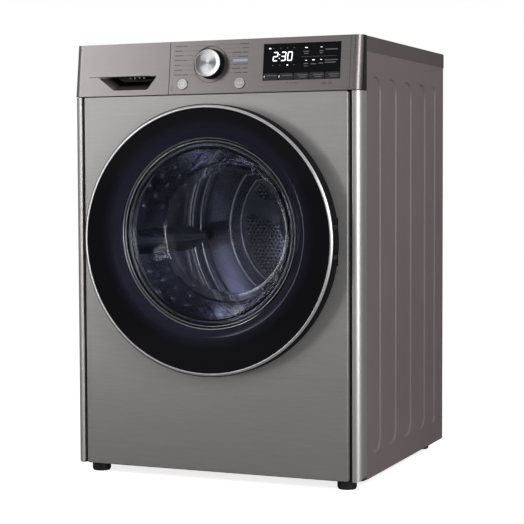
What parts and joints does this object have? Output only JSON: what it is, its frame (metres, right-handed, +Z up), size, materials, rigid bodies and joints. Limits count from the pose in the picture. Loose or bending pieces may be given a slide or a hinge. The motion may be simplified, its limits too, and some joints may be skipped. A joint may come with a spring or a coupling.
{
  "type": "clothes dryer",
  "caption": "Free-standing front-loading tumble dryer with a round glazed door, turning drum, pull-out water drawer and a rotary selector on a leaning control strip.",
  "frame": {"origin": "on the floor, under the centre of the bounding box", "axes": "+Z up, the front faces -Y, +X is to the right of someone facing the front"},
  "size_m": [0.6, 0.625, 0.85],
  "materials": {
    "black_rubber": "matt",
    "black_steel": "matt black",
    "board_green": "circuit board",
    "bowl_glass": "clear",
    "brushed_front": "horizontal brushing",
    "cabinet_grey": "warm dark grey, satin",
    "chrome_ring": "satin chrome",
    "corner_silver": "satin",
    "dark_grey_plastic": "moulded",
    "display_glass": "smoked",
    "door_dark": "satin",
    "drum_steel": "rolled",
    "felt_cloth": "felt",
    "fin_aluminium": "mill",
    "foot_black": "moulded",
    "galvanised": "zinc coated",
    "gloss_black": "gloss",
    "knob_metal": "spun",
    "light_grey_plastic": "moulded",
    "machine_black": "gloss enamel",
    "seal_rubber": "matt",
    "silver_strip": "metallic silver lacquer",
    "steel": "bright",
    "tank_white": "translucent"
  },
  "bodies": {
    "cabinet": {"air_inlet_grille": "drum_steel", "base_pan": "dark_grey_plastic", "blower_housing": "light_grey_plastic", "cabinet_screws": "steel", "compressor": "machine_black", "condensate_hose": "light_grey_plastic", "control_board": "board_green", "control_fascia": "silver_strip", "cord_inlet": "foot_black", "corner_trims": "corner_silver", "display_window": "display_glass", "door_seal": "seal_rubber", "drain_pump": "light_grey_plastic", "drain_spigot": "light_grey_plastic", "drive_belt": "black_rubber", "drum_felts": "felt_cloth", "front_bulkhead": "galvanised", "front_frame": "black_steel", "front_panel": "brushed_front", "heat_exchangers": "fin_aluminium", "hinge_bracket": "steel", "idler_post": "steel", "latch_catch": "dark_grey_plastic", "lint_filter": "light_grey_plastic", "motor_housing": "steel", "rear_bulkhead": "galvanised", "rear_duct_cover": "galvanised", "rear_panel": "galvanised", "roller_axles": "steel", "side_panel_left": "cabinet_grey", "side_panel_right": "cabinet_grey", "tank_tray": "dark_grey_plastic", "top_plate": "cabinet_grey"},
    "door": {"door_frame": "door_dark", "door_trim_ring": "chrome_ring", "door_outer_cover": "gloss_black", "door_inner_frame": "light_grey_plastic", "door_glass_bowl": "bowl_glass", "hinge_arm": "steel"},
    "drum": {"drum_shell": "drum_steel", "drum_lifters": "light_grey_plastic"},
    "front_left_roller": {"roller_front_left": "black_rubber"},
    "front_right_roller": {"roller_front_right": "black_rubber"},
    "rear_left_roller": {"roller_rear_left": "black_rubber"},
    "rear_right_roller": {"roller_rear_right": "black_rubber"},
    "motor_rotor": {"motor_shaft": "steel", "blower_wheel": "dark_grey_plastic"},
    "tensioner": {"idler_arm": "steel"},
    "tension_roller": {"idler_pulley": "dark_grey_plastic"},
    "tank_drawer": {"drawer_front": "silver_strip", "water_tank": "tank_white", "tank_lid": "tank_white"},
    "selector": {"knob_body": "door_dark", "knob_cap": "knob_metal"},
    "power_key": {"power_button": "knob_metal"},
    "start_key": {"start_button": "knob_metal"},
    "front_left_foot": {"foot_front_left": "foot_black"},
    "front_right_foot": {"foot_front_right": "foot_black"},
    "rear_left_foot": {"foot_rear_left": "foot_black"},
    "rear_right_foot": {"foot_rear_right": "foot_black"}
  },
  "joints": [
    {"name": "door_hinge", "type": "hinge", "parent": "cabinet", "child": "door", "pos_m": [0.252, -0.2975, 0.467], "axis": [0, 0, 1], "range_deg": [0, 110]},
    {"name": "drum_spin", "type": "hinge", "parent": "cabinet", "child": "drum", "pos_m": [0, 0, 0.48], "axis": [0, 1, 0], "continuous": true},
    {"name": "front_left_roller_spin", "type": "hinge", "parent": "cabinet", "child": "front_left_roller", "pos_m": [-0.16708, -0.2133, 0.21261], "axis": [0, 1, 0], "continuous": true},
    {"name": "front_right_roller_spin", "type": "hinge", "parent": "cabinet", "child": "front_right_roller", "pos_m": [0.16708, -0.2133, 0.21261], "axis": [0, 1, 0], "continuous": true},
    {"name": "rear_left_roller_spin", "type": "hinge", "parent": "cabinet", "child": "rear_left_roller", "pos_m": [-0.16708, 0.2115, 0.21261], "axis": [0, 1, 0], "continuous": true},
    {"name": "rear_right_roller_spin", "type": "hinge", "parent": "cabinet", "child": "rear_right_roller", "pos_m": [0.16708, 0.2115, 0.21261], "axis": [0, 1, 0], "continuous": true},
    {"name": "motor_spin", "type": "hinge", "parent": "cabinet", "child": "motor_rotor", "pos_m": [0.165, -0.0555, 0.112], "axis": [0, 1, 0], "continuous": true},
    {"name": "tensioner_swing", "type": "hinge", "parent": "cabinet", "child": "tensioner", "pos_m": [0.045, 0.0425, 0.07], "axis": [0, -1, 0], "range_deg": [0, 8], "stiffness_Nm_per_rad": 3, "springref_deg": -17.19},
    {"name": "tension_roller_spin", "type": "hinge", "parent": "tensioner", "child": "tension_roller", "pos_m": [0.103, 0.0225, 0.09], "axis": [0, 1, 0], "continuous": true},
    {"name": "tank_drawer_slide", "type": "slide", "parent": "cabinet", "child": "tank_drawer", "axis": [0, -1, 0], "range_m": [0, 0.42]},
    {"name": "selector_turn", "type": "hinge", "parent": "cabinet", "child": "selector", "pos_m": [-0.004, -0.26932, 0.8043], "axis": [0, -0.992, 0.1264], "continuous": true},
    {"name": "power_press", "type": "slide", "parent": "cabinet", "child": "power_key", "axis": [0, 0.992, -0.1264], "range_m": [0, 0.0015], "stiffness_N_per_m": 500, "springref_m": -0.001},
    {"name": "start_press", "type": "slide", "parent": "cabinet", "child": "start_key", "axis": [0, 0.992, -0.1264], "range_m": [0, 0.0015], "stiffness_N_per_m": 500, "springref_m": -0.001},
    {"name": "front_left_foot_screw", "type": "slide", "parent": "cabinet", "child": "front_left_foot", "axis": [0, 0, -1], "range_m": [0, 0.01]},
    {"name": "front_right_foot_screw", "type": "slide", "parent": "cabinet", "child": "front_right_foot", "axis": [0, 0, -1], "range_m": [0, 0.01]},
    {"name": "rear_left_foot_screw", "type": "slide", "parent": "cabinet", "child": "rear_left_foot", "axis": [0, 0, -1], "range_m": [0, 0.01]},
    {"name": "rear_right_foot_screw", "type": "slide", "parent": "cabinet", "child": "rear_right_foot", "axis": [0, 0, -1], "range_m": [0, 0.01]}
  ],
  "couplings": [
    {"joint": "front_left_roller_spin", "follows": "drum_spin", "ratio": -8},
    {"joint": "front_right_roller_spin", "follows": "drum_spin", "ratio": -8},
    {"joint": "rear_left_roller_spin", "follows": "drum_spin", "ratio": -8},
    {"joint": "rear_right_roller_spin", "follows": "drum_spin", "ratio": -8},
    {"joint": "motor_spin", "follows": "drum_spin", "ratio": 31.111},
    {"joint": "tension_roller_spin", "follows": "drum_spin", "ratio": 20}
  ]
}
